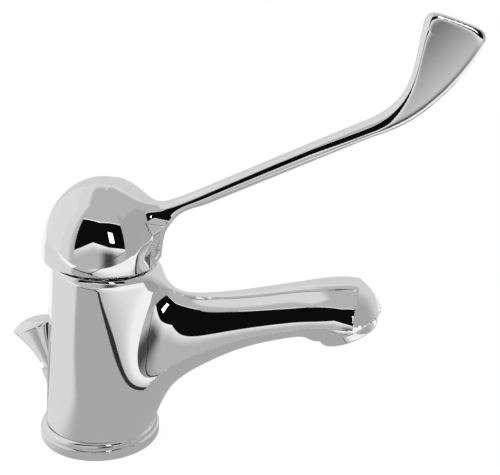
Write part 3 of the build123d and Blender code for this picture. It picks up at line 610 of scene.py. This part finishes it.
def makeMaterial(name, finish):
    dark, light, metallic, roughLow, roughHigh, scale, strength, depth = finish
    material = bpy.data.materials.new(name)
    material.use_nodes = True
    tree = material.node_tree
    shader = tree.nodes["Principled BSDF"]
    surface, bump = tree.nodes.new("ShaderNodeGroup"), tree.nodes.new("ShaderNodeBump")
    surface.node_tree = fineSurface
    surface.inputs["Scale"].default_value = scale
    surface.inputs["Rough Low"].default_value = roughLow
    surface.inputs["Rough High"].default_value = roughHigh
    surface.inputs["Dark"].default_value = (*dark, 1)
    surface.inputs["Light"].default_value = (*light, 1)
    bump.inputs["Strength"].default_value = strength
    bump.inputs["Distance"].default_value = depth * mm
    shader.inputs["Metallic"].default_value = metallic
    tree.links.new(surface.outputs["Color"], shader.inputs["Base Color"])
    tree.links.new(surface.outputs["Roughness"], shader.inputs["Roughness"])
    tree.links.new(surface.outputs["Height"], bump.inputs["Height"])
    tree.links.new(bump.outputs["Normal"], shader.inputs["Normal"])
    return material


materials = {name: makeMaterial(name, finish) for name, finish in finishes.items()}
index = {
    "finish": ((0.7, 0.7, 0.7), (0.75, 0.75, 0.75), 0.0, 0.1, 0.18, 300, 0.05, 0.01),
    "pale": (0.72, 0.72, 0.70, 1), "red": (0.22, 0.03, 0.03, 1), "redRadius": 1.5,
}


def indexMaterial():
    # pale button with a dark red centre
    material = makeMaterial("indexButton", index["finish"])
    tree = material.node_tree
    shader = tree.nodes["Principled BSDF"]
    place, parts = tree.nodes.new("ShaderNodeTexCoord"), tree.nodes.new("ShaderNodeSeparateXYZ")
    tree.links.new(place.outputs["Object"], parts.inputs["Vector"])
    up = mathNode(tree, "SUBTRACT", parts.outputs["Z"], (pivot[2] + hub["buttonUp"]) * mm)
    upSquare = mathNode(tree, "MULTIPLY", up, up)
    sideSquare = mathNode(tree, "MULTIPLY", parts.outputs["Y"], parts.outputs["Y"])
    away = mathNode(tree, "SQRT", mathNode(tree, "ADD", upSquare, sideSquare))
    centre = mathNode(tree, "LESS_THAN", away, index["redRadius"] * mm)
    whole = tree.nodes.new("ShaderNodeMix")
    whole.data_type = "RGBA"
    whole.inputs["A"].default_value = index["pale"]
    whole.inputs["B"].default_value = index["red"]
    tree.links.new(centre, whole.inputs["Factor"])
    tree.links.new(whole.outputs["Result"], shader.inputs["Base Color"])
    return material


indexButton = indexMaterial()
finishNodes = {
    "chromeSatin": ("cartridge_cover",), "brass": ("retaining_nut",),
    "cartridgePlastic": ("cartridge_housing", "cartridge_base", "rotor", "disc_carrier", "rod_guide"),
    "ceramic": ("fixed_disc", "moving_disc"), "spindleSteel": ("stem", "stem_pin", "lever_screw"),
    "screenSteel": ("aerator_screen",), "aeratorPlastic": ("aerator_insert",),
    "sealRubber": ("base_seal", "inlet_seals", "aerator_washer"),
}
nodeFinish = {name: finish for finish, names in finishNodes.items() for name in names}
for name, node in nodes.items():
    material = indexButton if name == "index_cap" else materials[nodeFinish.get(name, "chrome")]
    node.data.materials.clear()
    node.data.materials.append(material)
for piece in (bodyPiece, leverPiece, ringPiece, shellPiece, knobPiece):
    piece.data.materials.append(materials["chrome"])
print("materials set")


# studio: cards that only the chrome mirrors, pale floor and soft lamp
def emissionMaterial(name, value):
    material = bpy.data.materials.new(name)
    material.use_nodes = True
    tree = material.node_tree
    tree.nodes.clear()
    out, glow = tree.nodes.new("ShaderNodeOutputMaterial"), tree.nodes.new("ShaderNodeEmission")
    glow.inputs["Color"].default_value = (value, value, value, 1)
    tree.links.new(glow.outputs[0], out.inputs["Surface"])
    return material


def makeCard(name, corners, value):
    mesh = bpy.data.meshes.new(name)
    points = [tuple(c * mm for c in corner) for corner in corners]
    mesh.from_pydata(points, [], [tuple(range(len(points)))])
    card = bpy.data.objects.new(name, mesh)
    bpy.context.scene.collection.objects.link(card)
    mesh.materials.append(emissionMaterial(name, value))
    card.visible_camera = card.visible_diffuse = card.visible_shadow = False
    card.visible_transmission = card.visible_volume_scatter = False
    return card


tent = {"left": -700.0, "right": 900.0, "front": -330.0, "back": 650.0, "top": 900.0, "low": -60.0}
left, right, front, back, top, low = (tent[k] for k in ("left", "right", "front", "back", "top", "low"))
grey = {
    # the deck's grey stands for painted shade of the tap's shadow on the deck, and the lighter left grey for
    # painted light beside it
    "leftWall": 0.80, "backWall": 0.70, "rightWall": 0.42, "ceiling": 0.50, "deck": 0.43, "deckLitLeft": 0.76,
    "deckRight": 0.13, "sheetEdge": 0.03, "flapDark": 0.07, "flapMiddle": 0.5, "flapLight": 1.05,
    "window": 0.004, "windowRim": 1.1, "lamp": 3.0, "farNear": 0.5, "farAway": 0.98,
}
window = {
    "foot": ((-224, 113), (-120, 145), (0, 190), (183, 160), (543, 143)),
    "head": ((543, 533), (56, 405), (-224, 447)), "rim": 14.0, "rimForward": 1,
}
lamp = {"x": 222.0, "z": 252.0, "halfWidth": 36.0, "halfHeight": 52.0, "lean": 12.0, "forward": 6}
deck = {
    "outline": (
        (-60, 300), (-172, -250), (-14, -243), (17, -221), (86, -144), (170, -50), (260, 60), (260, 300),
    ),
    "right": ((190, 20), (350, 20), (350, 190), (190, 190)),
    "left": ((0, -24), (-172, -250), (left, -250), (left, 300), (-40, 10)),
    "far": ((543, 60), (543, front + 1), (-172, front + 1)),
    "height": 0.15, "sideHeight": 0.3, "farHeight": 0.1,
}
sheet = {
    "line": ((-14, -243, 0), (85, front, 0), (142, front, 47), (325, front, 80), (543, front, 112)),
    "width": 5.0, "forward": 2,
}
square = ((-1, -1), (1, -1), (1, 1), (-1, 1))


def wallCorners(x1, y1, x2, y2):
    # corners of a card from the tent's foot to its top
    return (x1, y1, low), (x2, y2, low), (x2, y2, top), (x1, y1, top)


def onFront(points, lift=0.0):
    return [(x, front + lift, z) for x, z in points]


def flat(points, height):
    return [(x, y, height) for x, y in points]


windowLeft, windowRight = window["foot"][0][0], window["foot"][-1][0]
windowHead = window["head"][::-1]
headRim = [(x, z + window["rim"]) for x, z in window["head"]]
makeCard("leftWall", wallCorners(left, front, left, back), grey["leftWall"])
makeCard("backWall", wallCorners(left, back, right, back), grey["backWall"])
rightWall = makeCard("rightWall", wallCorners(right, front, right, back), grey["rightWall"])
ceilingCorners = flat(((left, front), (right, front), (right, back), (left, back)), top)
ceiling = makeCard("ceiling", ceilingCorners, grey["ceiling"])
frontLeft = makeCard("frontLeft", wallCorners(left, front, windowLeft, front), grey["leftWall"])
makeCard("frontRight", wallCorners(windowRight, front, right, front), grey["rightWall"])
frontTopCorners = onFront((*windowHead, (windowRight, top), (windowLeft, top)))
frontTop = makeCard("frontTop", frontTopCorners, grey["ceiling"])
makeCard("windowRim", onFront((*windowHead, *headRim), window["rimForward"]), grey["windowRim"])
makeCard("window", onFront((*window["foot"], *window["head"])), grey["window"])
flapCorners = onFront(((windowLeft, low), (windowRight, low), *window["foot"][::-1]))
flap = makeCard("flap", flapCorners, grey["flapDark"])
makeCard("deck", flat(deck["outline"], deck["height"]), grey["deck"])
makeCard("deckRight", flat(deck["right"], deck["sideHeight"]), grey["deckRight"])
deckFar = makeCard("deckFar", flat((*deck["outline"][1:7], *deck["far"]), deck["farHeight"]), grey["deck"])
# lighter left part of the deck: painted light beside the tap's painted shadow
deckLitLeft = makeCard("deckLitLeft", flat(deck["left"], deck["sideHeight"]), grey["deckLitLeft"])
for number, ends in enumerate(zip(sheet["line"][:-1], sheet["line"][1:])):
    strip = [(x, y + sheet["forward"], z) for x, y, z in ends]
    strip += [(x, y, z + sheet["width"]) for x, y, z in strip[::-1]]
    makeCard("sheetEdge%d" % number, strip, grey["sheetEdge"])
for number, ends in enumerate(zip(deck["outline"][1:5], deck["outline"][2:6])):
    strip = flat(ends, 0) + flat(ends[::-1], sheet["width"])
    makeCard("deckEdge%d" % number, strip, grey["sheetEdge"])
spot = []
for a, b in square:
    across = lamp["x"] + a * lamp["halfWidth"] - b * lamp["lean"]
    spot.append((across, front + lamp["forward"], lamp["z"] + b * lamp["halfHeight"]))
makeCard("lampSpot", spot, grey["lamp"])
print("cards set")


def fadeCard(card, paint):
    # a card whose grey is worked out from its own place by the given function
    tree = card.data.materials[0].node_tree
    place, parts = tree.nodes.new("ShaderNodeTexCoord"), tree.nodes.new("ShaderNodeSeparateXYZ")
    tree.links.new(place.outputs["Object"], parts.inputs["Vector"])

    def ramp(socket, low, high, toLow, toHigh, smooth=True):
        node = tree.nodes.new("ShaderNodeMapRange")
        node.interpolation_type = "SMOOTHSTEP" if smooth else "LINEAR"
        tree.links.new(socket, node.inputs["Value"])
        for name, value in (("From Min", low), ("From Max", high), ("To Min", toLow), ("To Max", toHigh)):
            node.inputs[name].default_value = value
        return node.outputs["Result"]

    def work(kind, a, b):
        return mathNode(tree, kind, a, b)

    value = paint(parts.outputs, ramp, work)
    colour = tree.nodes.new("ShaderNodeCombineColor")
    for socket in colour.inputs[:3]:
        tree.links.new(value, socket)
    tree.links.new(colour.outputs["Color"], tree.nodes["Emission"].inputs["Color"])


# fades run from the first place to the second, in metres, and the next two are the values there
fade = {
    "footLeft": (-0.224, 0.0, 0.113, 0.19), "footRight": (0.0, 0.3, 0, 0.038), "footNear": (0.0, 0.07, 1, 0),
    "footPower": 1.2, "footSide": (-0.224, 0.06, 0.5, 1),
    "shadeIn": (0.05, 0.16, 0, 1), "shadeOut": (0.2, 0.36, 1, 0),
    "ceilingY": (0.15, 0.5, 1, 0), "ceilingX": (-0.36, -0.2, 0, 1), "ceilingBorder": -0.3,
    "ceilingOuter": 0.04, "wallY": (-0.1, 0.6),
    # the slanting line through the tap's foot is the painted edge of the tap's shadow on the deck
    "tapShadowEdge": (0.0, -0.024, 0.796, 0.606), "tapShadowRange": (-0.03, 0.0),
    "farLine": (0.017, -0.221, 0.745, 0.667), "farRange": (-0.01, 0.1),
}


def pastLine(place, work, line):
    # how far a place lies past a slanting line through a point
    x, y, wayX, wayY = line
    across = work("MULTIPLY", work("SUBTRACT", place["X"], x), wayX)
    return work("SUBTRACT", across, work("MULTIPLY", work("SUBTRACT", place["Y"], y), wayY))


def paintFlap(place, ramp, work):
    # light just under the window's foot, dark lower down and on the left
    leftFoot = ramp(place["X"], *fade["footLeft"], False)
    rightFoot = ramp(place["X"], *fade["footRight"], False)
    foot = work("SUBTRACT", leftFoot, rightFoot)
    near = ramp(work("SUBTRACT", foot, place["Z"]), *fade["footNear"], False)
    side = ramp(place["X"], *fade["footSide"], False)
    share = work("MULTIPLY", work("POWER", near, fade["footPower"]), side)
    shaded = work("MULTIPLY", ramp(place["X"], *fade["shadeIn"]), ramp(place["X"], *fade["shadeOut"]))
    darker = work("MULTIPLY", shaded, grey["flapMiddle"] - grey["flapDark"])
    dark = work("SUBTRACT", grey["flapMiddle"], darker)
    return work("ADD", work("MULTIPLY", share, work("SUBTRACT", grey["flapLight"], dark)), dark)


def paintCeiling(place, ramp, work):
    # darker middle with a soft darker border
    inner = work("MULTIPLY", ramp(place["Y"], *fade["ceilingY"]), ramp(place["X"], *fade["ceilingX"]))
    border = work("MULTIPLY", inner, work("SUBTRACT", 1, inner))
    outer = grey["leftWall"] - fade["ceilingOuter"]
    plain = work("ADD", outer, work("MULTIPLY", inner, grey["ceiling"] - outer))
    return work("ADD", plain, work("MULTIPLY", border, fade["ceilingBorder"]))


def paintRightWall(place, ramp, work):
    return ramp(place["Y"], *fade["wallY"], grey["rightWall"], grey["backWall"])


def paintDeckShadowEdge(place, ramp, work):
    # painted light on the left, fading across the painted edge of the tap's own shadow into the deck's grey,
    # a painted shade, towards the tap's front
    return ramp(pastLine(place, work, fade["tapShadowEdge"]), *fade["tapShadowRange"], grey["deckLitLeft"], grey["deck"])


def paintDeckFar(place, ramp, work):
    # grey along the deck's edge, lighter away from it
    return ramp(pastLine(place, work, fade["farLine"]), *fade["farRange"], grey["farNear"], grey["farAway"])


for card, paint in (
    (flap, paintFlap), (rightWall, paintRightWall), (deckLitLeft, paintDeckShadowEdge), (deckFar, paintDeckFar),
    (ceiling, paintCeiling), (frontLeft, paintCeiling), (frontTop, paintCeiling),
):
    fadeCard(card, paint)

pale = {
    "colour": (0.86, 0.86, 0.86, 1), "roughness": 0.8, "seenShare": 0.93, "glow": 1.03, "half": 3.0,
    "air": (0.8, 0.8, 0.8, 1), "airStrength": 0.75,
}


def plainRay(tree):
    # 1 for what the camera sees straight, mirrored or through a clear piece, 0 for light on surfaces
    path = tree.nodes.new("ShaderNodeLightPath").outputs
    seen = mathNode(tree, "MAXIMUM", path["Is Camera Ray"], path["Is Glossy Ray"])
    return mathNode(tree, "MAXIMUM", seen, path["Is Transmission Ray"])


def floorMaterial():
    # pale floor: white to the camera and in reflections, with a weak shadow of the object
    material = bpy.data.materials.new("paleFloor")
    material.use_nodes = True
    tree = material.node_tree
    shader = tree.nodes["Principled BSDF"]
    shader.inputs["Base Color"].default_value = pale["colour"]
    shader.inputs["Roughness"].default_value = pale["roughness"]
    glow, mix = tree.nodes.new("ShaderNodeEmission"), tree.nodes.new("ShaderNodeMixShader")
    glow.inputs["Strength"].default_value = pale["glow"]
    tree.links.new(mathNode(tree, "MULTIPLY", plainRay(tree), pale["seenShare"]), mix.inputs["Fac"])
    tree.links.new(shader.outputs[0], mix.inputs[1])
    tree.links.new(glow.outputs[0], mix.inputs[2])
    tree.links.new(mix.outputs[0], tree.nodes["Material Output"].inputs["Surface"])
    return material


floorMesh = bpy.data.meshes.new("floor")
floorMesh.from_pydata([(a * pale["half"], b * pale["half"], 0) for a, b in square], [], [(0, 1, 2, 3)])
floor = bpy.data.objects.new("floor", floorMesh)
bpy.context.scene.collection.objects.link(floor)
floorMesh.materials.append(floorMaterial())


def buildWorld():
    # white where it is seen, dimmer as light on the object
    world = bpy.data.worlds.new("softStudio")
    bpy.context.scene.world = world
    world.use_nodes = True
    tree = world.node_tree
    tree.nodes.clear()
    out, mix = tree.nodes.new("ShaderNodeOutputWorld"), tree.nodes.new("ShaderNodeMixShader")
    soft, white = (tree.nodes.new("ShaderNodeBackground") for turn in range(2))
    soft.inputs["Color"].default_value = pale["air"]
    soft.inputs["Strength"].default_value = pale["airStrength"]
    white.inputs["Color"].default_value = (1, 1, 1, 1)
    tree.links.new(plainRay(tree), mix.inputs["Fac"])
    tree.links.new(soft.outputs[0], mix.inputs[1])
    tree.links.new(white.outputs[0], mix.inputs[2])
    tree.links.new(mix.outputs[0], out.inputs["Surface"])


buildWorld()
shadowLamp = {"size": 0.6, "energy": 3.0, "place": (-0.35, -0.45, 0.8), "target": (0.03, 0, 0.09)}
softLamp = bpy.data.lights.new("softLamp", "AREA")
softLamp.size, softLamp.energy = shadowLamp["size"], shadowLamp["energy"]
lampObject = bpy.data.objects.new("softLamp", softLamp)
lampObject.location = shadowLamp["place"]
lampWay = Vector(shadowLamp["target"]) - lampObject.location
lampObject.rotation_euler = lampWay.to_track_quat("-Z", "Y").to_euler()
lampObject.visible_glossy = False
bpy.context.scene.collection.objects.link(lampObject)
print("studio set")


# camera at the photograph's angle
view = {
    "place": (122.10, -342.91, 219.5), "turn": 9.27, "pitch": 18.82, "roll": 2.68,
    "focalPixels": 879.8, "imageWidth": 500, "sensor": 36, "nearest": 0.01, "farthest": 20,
}


def placeCamera():
    turn, pitch, roll = (math.radians(view[k]) for k in ("turn", "pitch", "roll"))
    ahead = Vector((-math.sin(turn) * math.cos(pitch), math.cos(turn) * math.cos(pitch), -math.sin(pitch)))
    level = Vector((math.cos(turn), math.sin(turn), 0))
    upright = level.cross(ahead)
    across = math.cos(roll) * level + math.sin(roll) * upright
    above = -math.sin(roll) * level + math.cos(roll) * upright
    camera = bpy.data.cameras.new("productCamera")
    camera.sensor_width = view["sensor"]
    camera.lens = view["focalPixels"] / view["imageWidth"] * camera.sensor_width
    camera.clip_start, camera.clip_end = view["nearest"], view["farthest"]
    holder = bpy.data.objects.new("productCamera", camera)
    place = Matrix((across, above, -ahead)).transposed().to_4x4()
    place.translation = Vector(view["place"]) * mm
    holder.matrix_world = place
    bpy.context.scene.collection.objects.link(holder)
    bpy.context.scene.camera = holder


placeCamera()
bpy.context.scene.view_settings.view_transform = "Standard"
print("camera set")
